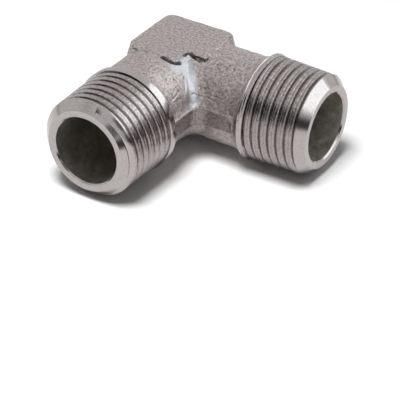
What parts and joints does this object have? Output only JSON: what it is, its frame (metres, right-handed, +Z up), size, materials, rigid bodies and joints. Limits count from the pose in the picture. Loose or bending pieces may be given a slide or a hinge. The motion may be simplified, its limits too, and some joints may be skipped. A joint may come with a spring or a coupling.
{
  "type": "elbow adapter",
  "caption": "Right-angle pipe elbow with two male taper threads, through-drilled, forged in one piece with a squared outer corner and spanner flats, nickel-plated.",
  "frame": {"origin": "where the axes of the two ports cross, inside the squared corner", "axes": "one port points along +X and the other along -Y; +Z is up, square to the forging's parting plane, which is the XY plane"},
  "size_m": [0.0448, 0.0448, 0.0218],
  "materials": {
    "nickel_plate": "satin nickel plating over brass: grainy on the forged body, turned on the collars, threads and faces"
  },
  "bodies": {
    "root": {"elbow_body": "nickel_plate"}
  },
  "joints": []
}
